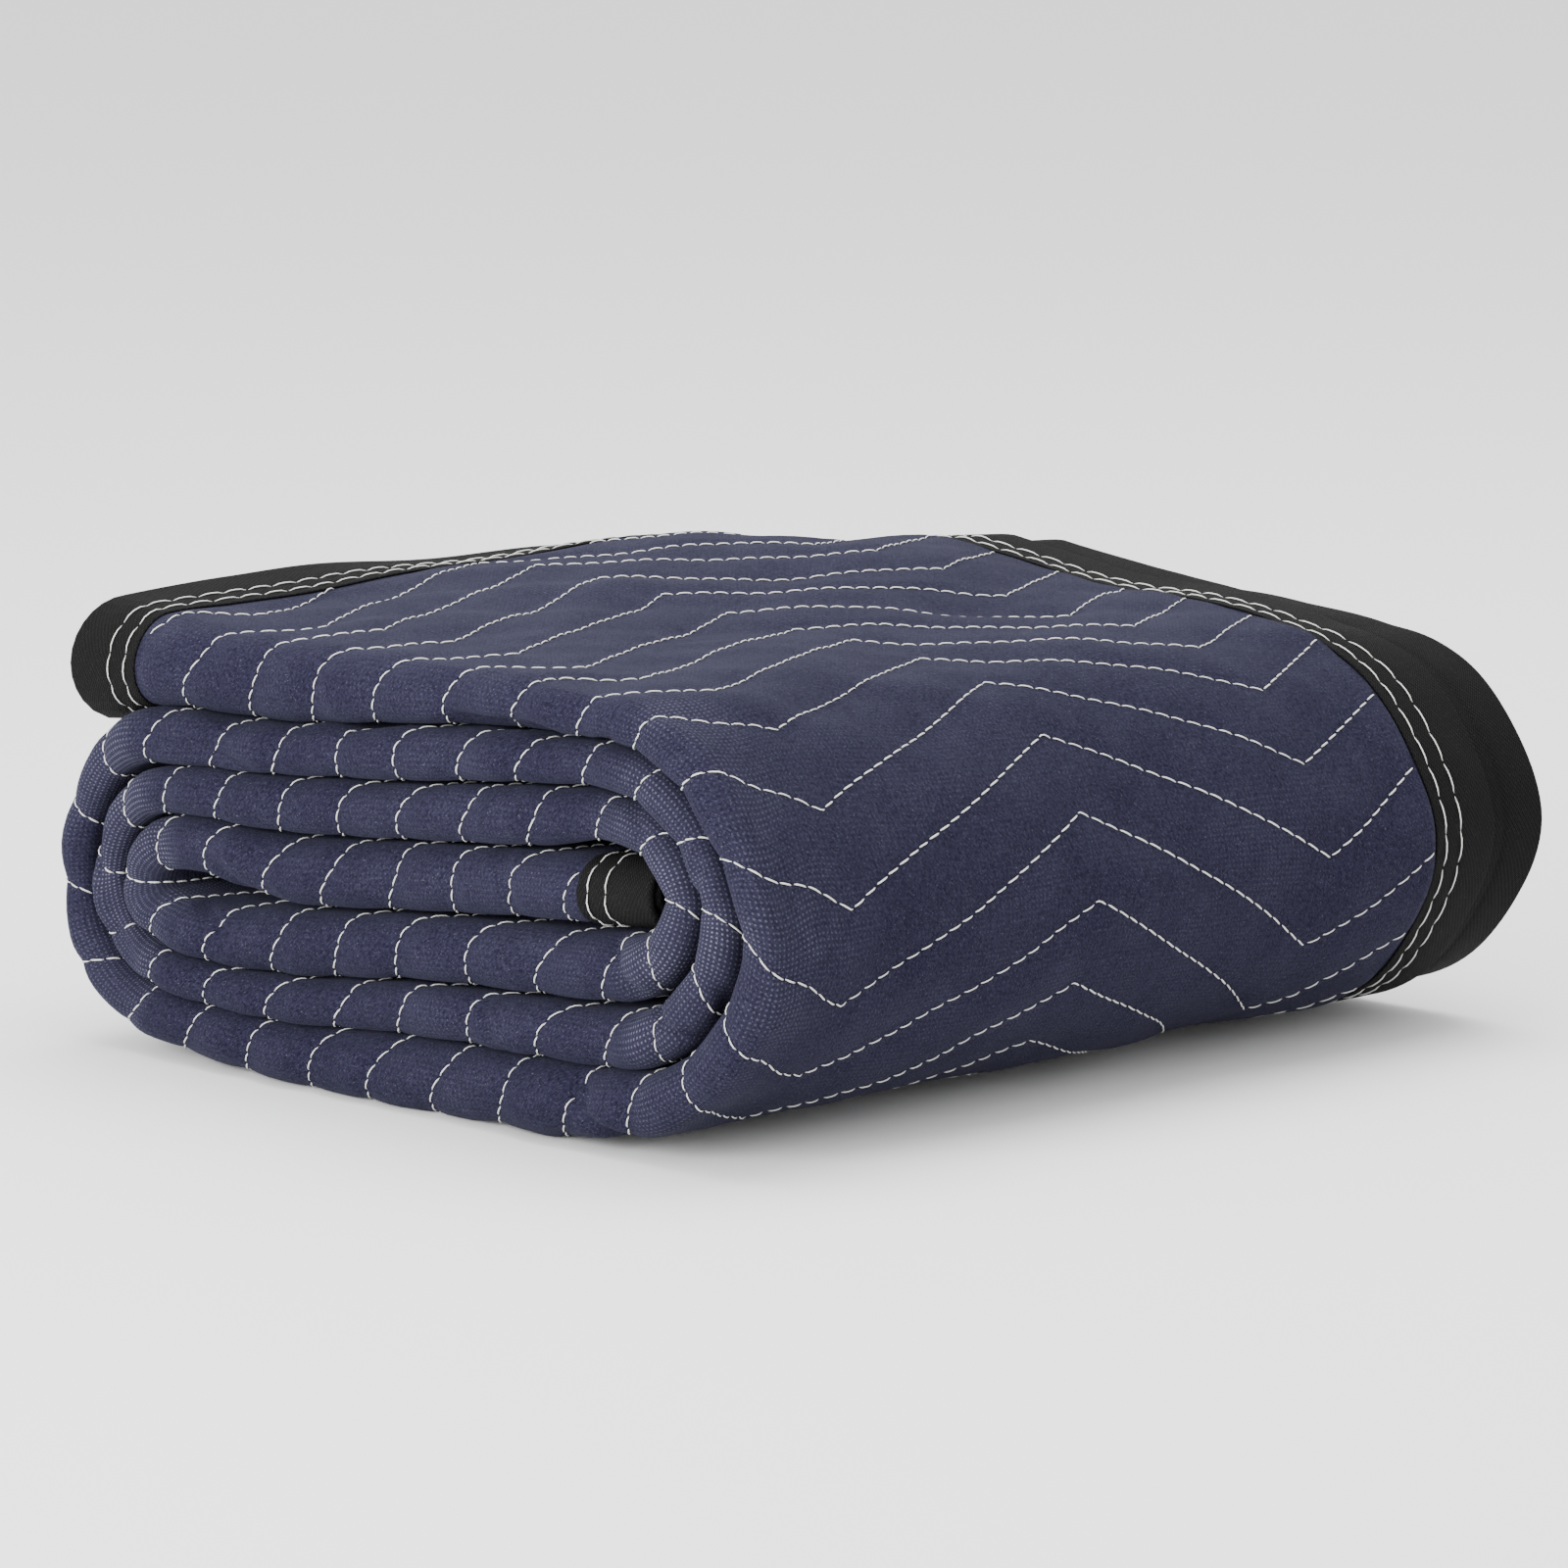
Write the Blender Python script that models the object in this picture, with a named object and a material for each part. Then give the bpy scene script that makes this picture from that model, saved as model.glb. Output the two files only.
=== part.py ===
# Quilted moving blanket, folded lengthwise into six plies and rolled flat into seven layers.
# Metres, +Z up. X runs along the rolled strip, Y along the roll, the rounded noses at y = 0.
# The origin is under the middle of the bundle, on the surface that it rests on.

import math

import bmesh
import bpy
import numpy as np

# Driving dimensions of the blanket and its strip
strip_width = 0.3065
short_edge_inset = 0.0210
rear_fold_inset = 0.0175
valley_from_nose = 0.0335
cloth_share = 0.12
cloth_most = 0.0022
cloth_in_binding = 0.0009
rear_cloth_share = 0.72
rear_allowance = 0.0007

# Quilting: zigzag rows of stitches on the outside wrap, the cloth standing up between them
row_spacing = 0.0254
row_amplitude = 0.0440
row_half_period = 0.0920
first_row = 0.0485
last_row = 12
row_steps = 3
puff_height = 0.0007
row_fade = 0.12

# Binding tape, and where the cloth has its full thickness again beside it
tape_width = 0.0250
tape_thickness = 0.0005
gap = 0.0003
hem_inset = 0.0012
hem_clear = 0.0036
end_thin = 0.0006
end_full = 0.0035
first_station = 0.0045
edge_tape_margin = 0.0014
on_surface = 0.00008

# Shape of the roll, seen from its nose end
right_turn_start = 0.083
left_turn_start = -0.099
y_middle = strip_width / 2

# How much lower the bundle is at its rear, as a share of the height, at places along X
slope_places = (-0.140, -0.100, -0.050, 0.0, 0.050, 0.090, 0.140)
rear_drop = (-0.075, -0.055, -0.035, -0.045, -0.062, -0.080, -0.080)

# One row for each layer, top to bottom: height of its middle at five places along X, then its
# thickness at the same places
layer_places = (-0.099, -0.050, 0.0, 0.050, 0.083)
layers = {
    "A": ((0.1104, 0.1128, 0.1149, 0.1174, 0.1170), (0.0242, 0.0226, 0.0180, 0.0140, 0.0116)),
    "B": ((0.0900, 0.0940, 0.0976, 0.1030, 0.1038), (0.0150, 0.0132, 0.0148, 0.0124, 0.0118)),
    "C": ((0.0750, 0.0790, 0.0815, 0.0876, 0.0900), (0.0130, 0.0150, 0.0150, 0.0158, 0.0120)),
    "D": ((0.0602, 0.0608, 0.0636, 0.0690, 0.0724), (0.0148, 0.0182, 0.0182, 0.0182, 0.0180)),
    "E": ((0.0390, 0.0406, 0.0444, 0.0484, 0.0504), (0.0148, 0.0182, 0.0172, 0.0182, 0.0182)),
    "F": ((0.0248, 0.0248, 0.0273, 0.0302, 0.0310), (0.0114, 0.0118, 0.0142, 0.0150, 0.0158)),
    "G": ((0.0110, 0.0092, 0.0098, 0.0114, 0.0140), (0.0144, 0.0184, 0.0196, 0.0216, 0.0172)),
}

# One row for each turn in the order of the strip: the layers it joins, how far its middle reaches
# along X, its thickness there, the number of steps and how pointed it is (1 is half an ellipse)
turns = (
    ("A", "G", 0.1348, 0.0128, 12, 1.10),
    ("G", "B", -0.1360, 0.0110, 9, 0.92),
    ("B", "F", 0.1197, 0.0122, 10, 1.10),
    ("F", "C", -0.1236, 0.0108, 7, 0.96),
    ("C", "E", 0.1052, 0.0122, 8, 1.10),
    ("E", "D", -0.1102, 0.0142, 6, 1.00),
)

# The two cut ends of the strip: x, height and thickness
outer_end = (-0.1325, 0.1110, 0.0305)
inner_end = (0.0902, 0.0715, 0.0180)

colours = {
    "quilted_blanket": ((0.062, 0.075, 0.165, 1.0), 0.95),
    "end_binding_outer": ((0.016, 0.016, 0.018, 1.0), 0.80),
    "end_binding_inner": ((0.016, 0.016, 0.018, 1.0), 0.80),
    "edge_binding_upper": ((0.016, 0.016, 0.018, 1.0), 0.80),
    "edge_binding_lower": ((0.016, 0.016, 0.018, 1.0), 0.80),
}


def clear_scene():
    for old in list(bpy.data.objects):
        bpy.data.objects.remove(old, do_unlink=True)


# Route of the strip: control points (x, z, thickness) in the order from the outer end
def turn_points(first, second, reach, thickness, steps, point):
    index = -1 if reach > 0 else 0
    start_x = right_turn_start if reach > 0 else left_turn_start
    z0 = layers[first][0][index]
    z1 = layers[second][0][index]
    t0 = layers[first][1][index]
    t1 = layers[second][1][index]
    points = []
    for step in range(1, steps):
        angle = math.pi * step / steps
        x = start_x + (reach - start_x) * math.sin(angle) ** point
        z = (z0 + z1) / 2 + (z0 - z1) / 2 * math.copysign(abs(math.cos(angle)) ** point, math.cos(angle))
        plain = t0 + (t1 - t0) * step / steps
        t = plain + (thickness - plain) * math.sin(angle) ** 2
        points.append((x, z, t))
    return points


def layer_points(name, rightward):
    heights, thicknesses = layers[name]
    points = list(zip(layer_places, heights, thicknesses))
    return points if rightward else points[::-1]


def strip_route():
    points = [outer_end]
    rightward = True
    for first, second, reach, thickness, steps, point in turns:
        points += layer_points(first, rightward)
        points += turn_points(first, second, reach, thickness, steps, point)
        rightward = not rightward
    points += layer_points(turns[-1][1], rightward)[:-1]
    points += [inner_end]
    return np.array(points)


# Smooth curve through the control points, by the distance along them
class Route:
    def __init__(self, points):
        steps = np.hypot(np.diff(points[:, 0]), np.diff(points[:, 1]))
        self.at = np.concatenate([[0.0], np.cumsum(steps)])
        self.length = self.at[-1]
        self.points = points
        slopes = np.diff(points, axis=0) / steps[:, None]
        weights = steps[:, None]
        inner = (slopes[:-1] * weights[1:] + slopes[1:] * weights[:-1]) / (weights[1:] + weights[:-1])
        self.tangents = np.concatenate([slopes[:1], inner, slopes[-1:]])
        # way along the outside of the strip, longer than its middle wherever it turns
        self.fine = np.linspace(0.0, self.length, 4001)
        _, normal, thickness = self.sample(self.fine)
        turn = -np.diff(np.unwrap(np.arctan2(normal[:, 1], normal[:, 0])))
        extra = turn * (thickness[1:] + thickness[:-1]) / 4
        self.ways = self.fine + np.concatenate([[0.0], np.cumsum(extra)])

    def sample(self, v):
        inside = np.clip(v, 0.0, self.length)
        k = np.clip(np.searchsorted(self.at, inside, side="right") - 1, 0, len(self.at) - 2)
        span = (self.at[k + 1] - self.at[k])[:, None]
        s = (inside - self.at[k])[:, None] / span
        p0, p1 = self.points[k], self.points[k + 1]
        m0, m1 = self.tangents[k] * span, self.tangents[k + 1] * span
        place = ((2 * s**3 - 3 * s**2 + 1) * p0 + (s**3 - 2 * s**2 + s) * m0
                 + (3 * s**2 - 2 * s**3) * p1 + (s**3 - s**2) * m1)
        slope = ((6 * s**2 - 6 * s) * p0 + (3 * s**2 - 4 * s + 1) * m0
                 + (6 * s - 6 * s**2) * p1 + (3 * s**2 - 2 * s) * m1) / span
        across = slope[:, :2] / np.linalg.norm(slope[:, :2], axis=1)[:, None]
        place[:, :2] += across * (v - inside)[:, None]
        place[:, 2] = np.interp(inside, self.at, self.points[:, 2])
        normal = np.stack([-across[:, 1], across[:, 0]], axis=1)
        return place[:, :2], normal, place[:, 2]


# A point of the bundle: v along the strip, y along the roll, n out from the strip's middle
def place_points(route, v, y, n):
    centre, normal, _ = route.sample(v)
    flat = centre + normal * n[:, None]
    drop = np.interp(flat[:, 0], slope_places, rear_drop)
    z = flat[:, 1] * (1 + drop * y / strip_width)
    return np.stack([flat[:, 0], y - y_middle, z], axis=1)


# Cross-section of the folded strip. Each column is one line along the strip on the cloth's middle
# surface: y, n and the outward direction (ny, nn) and the thickness of the cloth there.
def section_columns(t):
    cloth = np.minimum(cloth_share * t, cloth_most)
    pitch = (t - cloth) / 5
    level = [t / 2 - cloth / 2 - k * pitch for k in range(6)]
    bound = cloth_in_binding
    stack = bound + 2 * (gap + tape_thickness)
    upper_rear = t / 2 - stack / 2
    lower_rear = t / 2 - stack * 1.5 - gap - 0.00005
    used = 2 * stack + rear_allowance
    rest = (t - used) / 4
    rear = [t / 2 - used - (k + 0.5) * rest for k in range(4)]
    rear_cloth = np.minimum(rear_cloth_share * rest, cloth_most)
    short_edge = strip_width - short_edge_inset
    fold_y = strip_width - rear_fold_inset
    one = np.ones_like(t)
    zero = np.zeros_like(t)
    columns = []

    def flat(name, y, n, side, thickness, fine=None):
        columns.append((name, y * one, n, zero, side * one, thickness * one, fine))

    def fold(name, y, n, radius, start, end, count, sign, thickness, fine=False):
        for k in range(1, count):
            angle = start + (end - start) * k / count
            ny = sign * math.cos(angle)
            nn = sign * math.sin(angle)
            shift = None
            if fine:
                shift = valley_from_nose - t / 2 + radius * math.pi * k / count
            columns.append((name, y + radius * math.cos(angle), n + radius * math.sin(angle),
                            ny * one, nn * one, thickness * one, shift))

    half = math.pi / 2
    bound_line = short_edge - tape_width
    flat("edge", short_edge, upper_rear, 1, bound)
    flat("bound", bound_line + hem_inset, upper_rear, 1, bound)
    rear_line = bound_line - hem_clear
    flat("upper", rear_line, upper_rear, 1, cloth, (rear_line - valley_from_nose) * one)
    corner = 2 * row_half_period
    between = (corner + rear_line - valley_from_nose) / 2
    level_between = (level[0] + upper_rear) / 2
    flat("upper", valley_from_nose + between, level_between, 1, cloth, between * one)
    for k in range(2 * row_steps, -1, -1):
        distance = row_half_period * k / row_steps
        flat("upper", valley_from_nose + distance, level[0], 1, cloth, distance * one)
    flat("upper", t / 2, level[0], 1, cloth, valley_from_nose - t / 2)
    fold("nose", t / 2, zero, level[0], half, 3 * half, 4, 1, cloth, True)
    flat("lower", t / 2, level[5], -1, cloth)
    flat("lower", fold_y, rear[3], -1, rear_cloth)
    fold("rear", fold_y, (rear[0] + rear[3]) / 2, (rear[0] - rear[3]) / 2, -half, half, 3, 1, rear_cloth)
    flat("inner", fold_y, rear[0], 1, rear_cloth)
    flat("inner", t / 2 + pitch, level[2], 1, cloth)
    fold("first", t / 2 + pitch, zero, level[2], half, 3 * half, 2, 1, cloth)
    flat("inner", t / 2 + pitch, level[3], -1, cloth)
    flat("inner", fold_y, rear[1], -1, rear_cloth)
    fold("rear", fold_y, (rear[1] + rear[2]) / 2, (rear[1] - rear[2]) / 2, half, -half, 2, -1, rear_cloth)
    flat("inner", fold_y, rear[2], 1, rear_cloth)
    flat("inner", t / 2, level[4], 1, cloth)
    fold("nose", t / 2, zero, level[1], 3 * half, half, 4, -1, cloth)
    flat("under", t / 2, level[1], -1, cloth)
    flat("under", strip_width - tape_width - hem_clear, lower_rear, -1, cloth)
    flat("bound", strip_width - tape_width + hem_inset, lower_rear, -1, bound)
    flat("edge", strip_width, lower_rear, -1, bound)
    return columns


# Zigzag of the quilting: how far a stitched row has moved along the strip at a distance from the
# front valley
def row_shift(distance):
    phase = np.abs(distance) / row_half_period
    wave = 1 - np.abs(np.mod(phase, 2) - 1)
    return -row_amplitude * wave


def thin_at_ends(route, v, thickness):
    from_end = np.minimum(v, route.length - v)
    share = np.clip((from_end - tape_width - end_thin) / (end_full - end_thin), 0.0, 1.0)
    return cloth_in_binding + (thickness - cloth_in_binding) * share


def column_lines(route, v):
    _, _, t = route.sample(v)
    return section_columns(t)


# Stations that every line has
def plain_stations(route):
    ends = [tape_width + end_thin, tape_width + end_full]
    ends += [route.length - end for end in ends]
    stations = np.unique(np.concatenate([route.at, ends]))
    keep = [True]
    for value in stations[1:]:
        near_end = any(abs(value - end) < 1e-9 for end in ends)
        close = any(0 < abs(value - end) < 0.003 for end in ends)
        keep.append(near_end or not close)
    return stations[np.array(keep)]


# Stations of a line on the outside wrap: every stitched row and halfway between
def quilted_stations(route, plain, distance_at):
    after = tape_width + first_station
    rows = np.arange(-8, 2 * last_row + 1) / 2
    shift = row_shift(distance_at)
    v = np.interp(first_row + rows * row_spacing + shift, route.ways, route.fine)
    keep = v > after + 0.004
    v, rows = v[keep], rows[keep]
    head = plain[plain < after]
    tail = plain[plain > v[-1] + 0.006]
    stations = np.concatenate([head, v, tail])
    raised = np.concatenate([head * 0, np.abs(np.mod(rows, 1) - 0.5) < 0.1, tail * 0])
    fade = np.clip((stations - v[-1]) / row_fade, 0.0, 1.0)
    ways = np.interp(stations, route.fine, route.ways)
    keys = ways - shift * np.where(stations < after, 0.0, 1 - fade)
    return stations, keys, raised


def make_object(name, points, faces):
    mesh = bpy.data.meshes.new(name)
    mesh.from_pydata([tuple(p) for p in points], [], faces)
    build = bmesh.new()
    build.from_mesh(mesh)
    bmesh.ops.recalc_face_normals(build, faces=build.faces)
    build.to_mesh(mesh)
    build.free()
    colour, roughness = colours[name]
    material = bpy.data.materials.new(name)
    material.use_nodes = True
    shader = material.node_tree.nodes["Principled BSDF"]
    shader.inputs["Base Color"].default_value = colour
    shader.inputs["Roughness"].default_value = roughness
    shader.inputs["Metallic"].default_value = 0.0
    mesh.materials.append(material)
    mesh.shade_smooth()
    mesh.set_sharp_from_angle(angle=math.radians(50))
    item = bpy.data.objects.new(name, mesh)
    bpy.context.scene.collection.objects.link(item)
    return item


# Triangles between two lines, always stepping along the one that is behind
def zip_lines(first, first_keys, second, second_keys, second_leads):
    faces = []
    i = j = 0
    while i < len(first) - 1 or j < len(second) - 1:
        next_i = first_keys[i + 1] if i < len(first) - 1 else math.inf
        next_j = second_keys[j + 1] if j < len(second) - 1 else math.inf
        if next_i < next_j or (next_i == next_j and not second_leads):
            faces.append((first[i], first[i + 1], second[j]))
            i += 1
        else:
            faces.append((first[i], second[j + 1], second[j]))
            j += 1
    return faces


# The cloth: lines along the strip on its outer face, the same lines on its inner face, joined
# along the two long edges and across the two ends
def build_blanket(route, plain):
    count = len(column_lines(route, plain))
    points = []
    lines = []
    for face in (1, -1):
        order = range(count) if face == 1 else range(count - 1, -1, -1)
        for index in order:
            stations, keys, raised = plain, plain, plain * 0
            distance = column_lines(route, np.array([0.2]))[index][6]
            if face == 1 and distance is not None:
                stations, keys, raised = quilted_stations(route, plain, float(distance[0]))
            _, y, n, ny, nn, thickness, _ = column_lines(route, stations)[index]
            half = thin_at_ends(route, stations, thickness) / 2
            out = face * half + raised * puff_height
            spots = place_points(route, stations, y + ny * out, n + nn * out)
            spots[:, 2] = np.where(spots[:, 2] < on_surface, 0.0, spots[:, 2])
            start = len(points)
            points += list(spots)
            lines.append({"points": list(range(start, start + len(spots))), "stations": stations,
                          "keys": keys, "quilted": stations is not keys,
                          "y": spots[:, 1].mean(), "shift": stations[12] - keys[12]})
    faces = []
    for k in range(len(lines)):
        one, two = lines[k], lines[(k + 1) % len(lines)]
        quilted = one["quilted"] and two["quilted"]
        ruler = "keys" if quilted else "stations"
        second_leads = two["shift"] < one["shift"] if quilted else two["y"] > one["y"]
        faces += zip_lines(one["points"], one[ruler], two["points"], two[ruler], second_leads)
    for end in (0, -1):
        for k in range(count - 1):
            quad = [lines[index]["points"][end]
                    for index in (k, k + 1, 2 * count - 2 - k, 2 * count - 1 - k)]
            faces += [(quad[0], quad[1], quad[2]), (quad[0], quad[2], quad[3])]
    return make_object("quilted_blanket", points, faces)


def tube_faces(rings, sides, turned=None):
    faces = []
    for k in range(rings - 1):
        for s in range(sides):
            a, b = k * sides + s, k * sides + (s + 1) % sides
            if turned is not None and turned[k][s]:
                faces += [(a, b, a + sides), (b, b + sides, a + sides)]
            else:
                faces += [(a, b, b + sides), (a, b + sides, a + sides)]
    for ring in (0, rings - 1):
        r = [ring * sides + s for s in range(sides)]
        faces += [(r[0], r[1], r[6]), (r[0], r[6], r[7]), (r[1], r[2], r[5]), (r[1], r[5], r[6]),
                  (r[2], r[3], r[4]), (r[2], r[4], r[5])]
    return faces


# U-shaped outline of the tape round an edge, as (out past the edge, side of the cloth): the outer
# line from one hem round the edge to the other, then the inner line back
def tape_outline(hem, half_cloth):
    near = half_cloth + gap
    far = near + tape_thickness
    past = gap + tape_thickness
    return ((-hem, far), (past, far), (past, -far), (-hem, -far),
            (-hem, -near), (gap, -near), (gap, near), (-hem, near))


# Binding along a long edge of the blanket, between the two end bindings
def build_edge_binding(name, route, plain, column):
    margin = tape_width + edge_tape_margin
    inner = plain[(plain > margin) & (plain < route.length - margin)]
    stations = np.concatenate([[margin], inner, [route.length - margin]])
    _, y, n, _, _, _, _ = column_lines(route, stations)[column]
    sides = []
    for out, across in tape_outline(tape_width - 0.0010, cloth_in_binding / 2):
        spots = place_points(route, stations, y + out, n + across)
        spots[:, 2] = np.where(spots[:, 2] < on_surface, 0.0, spots[:, 2])
        sides.append(spots)
    points = np.stack(sides, axis=1).reshape(-1, 3)
    faces = tube_faces(len(stations), len(sides))
    return make_object(name, points, faces)


# Binding across an end of the strip, following every fold
def build_end_binding(name, route, at_start):
    end = 0.0 if at_start else route.length
    outward = -1.0 if at_start else 1.0
    sides = []
    for out, across in tape_outline(tape_width, cloth_in_binding / 2):
        v = np.array([end + outward * out])
        rows = []
        for _, y, n, ny, nn, _, _ in column_lines(route, v):
            rows.append(place_points(route, v, y + ny * across, n + nn * across)[0])
        sides.append(rows)
    rings = np.stack([np.array(rows) for rows in sides], axis=1)
    backward = np.diff(rings[:, 0, 1]) > 0
    reach = np.array([end + outward * out for out, _ in tape_outline(tape_width, 0.0)])
    onward = np.roll(reach, -1) > reach
    turned = backward[:, None] != onward[None, :]
    points = rings.reshape(-1, 3)
    faces = tube_faces(len(rings), len(reach), turned)
    return make_object(name, points, faces)


def main():
    clear_scene()
    route = Route(strip_route())
    plain = plain_stations(route)
    build_blanket(route, plain)
    build_end_binding("end_binding_outer", route, True)
    build_end_binding("end_binding_inner", route, False)
    build_edge_binding("edge_binding_upper", route, plain, 0)
    build_edge_binding("edge_binding_lower", route, plain, -1)


main()
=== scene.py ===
import math

import bmesh
import bpy
import numpy as np
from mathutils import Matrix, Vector


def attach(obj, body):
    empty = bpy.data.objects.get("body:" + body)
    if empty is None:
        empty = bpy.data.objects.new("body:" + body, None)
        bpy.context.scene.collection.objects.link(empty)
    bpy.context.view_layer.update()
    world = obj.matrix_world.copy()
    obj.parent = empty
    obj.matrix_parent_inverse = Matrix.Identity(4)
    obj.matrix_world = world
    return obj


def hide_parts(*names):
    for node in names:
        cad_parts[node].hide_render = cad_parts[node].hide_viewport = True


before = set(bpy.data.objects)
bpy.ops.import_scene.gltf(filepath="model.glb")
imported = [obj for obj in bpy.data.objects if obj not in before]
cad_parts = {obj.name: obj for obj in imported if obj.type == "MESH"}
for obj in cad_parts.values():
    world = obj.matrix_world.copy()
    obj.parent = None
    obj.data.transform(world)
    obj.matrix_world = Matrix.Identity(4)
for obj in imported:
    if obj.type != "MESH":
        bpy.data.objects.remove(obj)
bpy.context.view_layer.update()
print("frame loaded")

# The strip of six plies, rolled flat in seven layers, as its nose end shows it
roll = {
    "stripWidth": 0.3065,
    "shortEdgeInset": 0.0210,
    "rearFoldInset": 0.0175,
    "valleyFromNose": 0.0335,
    "rightTurnStart": 0.083,
    "leftTurnStart": -0.099,
    "middleY": 0.15325,
    "rearClothShare": 0.72,
    "rearAllowance": 0.0007,
    "slopeLength": 0.2705,
    "edgeFrom": 0.93,
    "edgeOver": 0.12,
    "flare": 0.003,
    "flareHeight": 0.042,
    "flareSpread": 0.040,
    "slopeX": (-0.131, -0.100, -0.070, -0.046, 0.0, 0.024, 0.050, 0.080, 0.100, 0.140),
    "rearDrop": (-0.120, 0.0, 0.020, 0.030, -0.020, -0.050, -0.064, -0.090, -0.088, -0.085),
    "swell": (0.030, 0.035, 0.030, 0.015, 0.010, -0.006, -0.004, 0.005, 0.0, 0.0),
    "rearDroop": (-0.09, -0.09, -0.07, -0.05, -0.03, -0.01, 0.0, 0.0, 0.0, 0.0),
    "edgeDroop": (0.014, 0.014, 0.014, 0.010, 0.0, -0.025, -0.022, 0.018, 0.022, 0.020),
    "noseSag": (-0.020, 0.0, 0.0, 0.0, 0.0, 0.0, 0.0, 0.0, 0.0, 0.0),
    "layerPlaces": (-0.099, -0.050, 0.0, 0.050, 0.083),
    "layers": {  # heights of the middle, then thicknesses, at the layer places
        "A": ((0.1104, 0.1128, 0.1149, 0.1174, 0.1170), (0.0242, 0.0226, 0.0180, 0.0140, 0.0116)),
        "B": ((0.0900, 0.0940, 0.0976, 0.1030, 0.1038), (0.0150, 0.0132, 0.0148, 0.0124, 0.0118)),
        "C": ((0.0750, 0.0790, 0.0815, 0.0876, 0.0900), (0.0130, 0.0150, 0.0150, 0.0158, 0.0120)),
        "D": ((0.0602, 0.0608, 0.0636, 0.0690, 0.0724), (0.0148, 0.0182, 0.0182, 0.0182, 0.0180)),
        "E": ((0.0390, 0.0406, 0.0444, 0.0484, 0.0504), (0.0148, 0.0182, 0.0172, 0.0182, 0.0182)),
        "F": ((0.0248, 0.0248, 0.0273, 0.0302, 0.0310), (0.0114, 0.0118, 0.0142, 0.0150, 0.0158)),
        "G": ((0.0110, 0.0092, 0.0098, 0.0114, 0.0140), (0.0144, 0.0184, 0.0196, 0.0216, 0.0172)),
    },
    "turns": (  # the two layers, how far the middle reaches, thickness there, steps, how pointed
        ("A", "G", 0.1348, 0.0128, 12, 1.10),
        ("G", "B", -0.1365, 0.0110, 9, 0.84),
        ("B", "F", 0.1197, 0.0122, 10, 1.10),
        ("F", "C", -0.1236, 0.0108, 7, 0.96),
        ("C", "E", 0.1052, 0.0122, 8, 1.10),
        ("E", "D", -0.1102, 0.0142, 6, 1.00),
    ),
    "outerEnd": (-0.1325, 0.1088, 0.0350),
    "innerEnd": (0.0960, 0.0715, 0.0180),
}

# Tape along every edge
tape = {
    "width": 0.0250,
    "thickness": 0.0005,
    "gap": 0.0003,
    "clothInside": 0.0009,
    "columns": 5,  # lines of the cloth under it
    "stations": 620,
    "innerPoints": 8,  # of the inner line of its outline
    "hemInset": 0.0012,
    "hemClear": 0.0036,
    "endThin": 0.0006,
    "edgeHem": 0.0010,
    "seamGap": 0.0004,
    "stitchInsets": (0.0040, 0.0104),
    "shut": ((0.0006, 0.9), (0.0010, 0.15)),  # way past the corner, share of its height there
}

# Quilting: zigzag rows, and how far the cloth stands up between them
quilt = {
    "rowSpacing": 0.0254,
    "firstRow": 0.0485,
    "rows": (-4, 84),
    "slipAt": (0.0, 0.120, 0.200, 0.250, 0.325, 0.370, 0.450, 0.770, 0.990, 1.060, 1.150, 1.250,
               1.330, 1.410, 1.490, 1.570, 1.650, 1.720, 1.770, 1.850),
    "slip": (-0.007, -0.007, -0.004, -0.006, 0.0, 0.003, 0.004, 0.004, -0.006, -0.001, 0.002,
             -0.010, -0.012, -0.011, -0.018, -0.012, -0.011, -0.016, -0.016, -0.021),
    "rearSlipAt": (0.270, 0.330, 0.360, 0.420),
    "rearSlip": (0.0, 0.008, 0.018, 0.018),
    "uneven": 0.0010,  # how far a row wanders on the noses
    "amplitude": 0.0440,
    "halfPeriod": 0.0920,
    "openPuff": 0.0008,
    "nosePuff": 0.0020,
    "pressedPuff": 0.0004,
    "clothShare": 0.12,
    "clothMost": 0.0022,
    "openUntil": 0.86,  # how far along the strip it is the outside wrap
}


def smooth(x):
    x = np.clip(x, 0.0, 1.0)
    return x * x * (3 - 2 * x)


def turnPoints(first, second, reach, thickness, steps, point):
    # half an ellipse from one layer to the next, more pointed above 1, with its own thickness
    # midway
    index = -1 if reach > 0 else 0
    startX = roll["rightTurnStart"] if reach > 0 else roll["leftTurnStart"]
    z0, t0 = roll["layers"][first][0][index], roll["layers"][first][1][index]
    z1, t1 = roll["layers"][second][0][index], roll["layers"][second][1][index]
    share = np.arange(1, steps) / steps
    angle = math.pi * share
    x = startX + (reach - startX) * np.sin(angle) ** point
    z = (z0 + z1) / 2 + (z0 - z1) / 2 * np.sign(np.cos(angle)) * np.abs(np.cos(angle)) ** point
    plain = t0 + (t1 - t0) * share
    return np.stack([x, z, plain + (thickness - plain) * np.sin(angle) ** 2], axis=1)


def routePoints():
    points, rightward = [[roll["outerEnd"]]], True
    for first, second, *shape in roll["turns"]:
        layer = np.array([roll["layerPlaces"], *roll["layers"][first]]).T
        points += [layer if rightward else layer[::-1], turnPoints(first, second, *shape)]
        rightward = not rightward
    last = np.array([roll["layerPlaces"], *roll["layers"][roll["turns"][-1][1]]]).T
    points += [(last if rightward else last[::-1])[:-1], [roll["innerEnd"]]]
    return np.concatenate(points)


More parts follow.
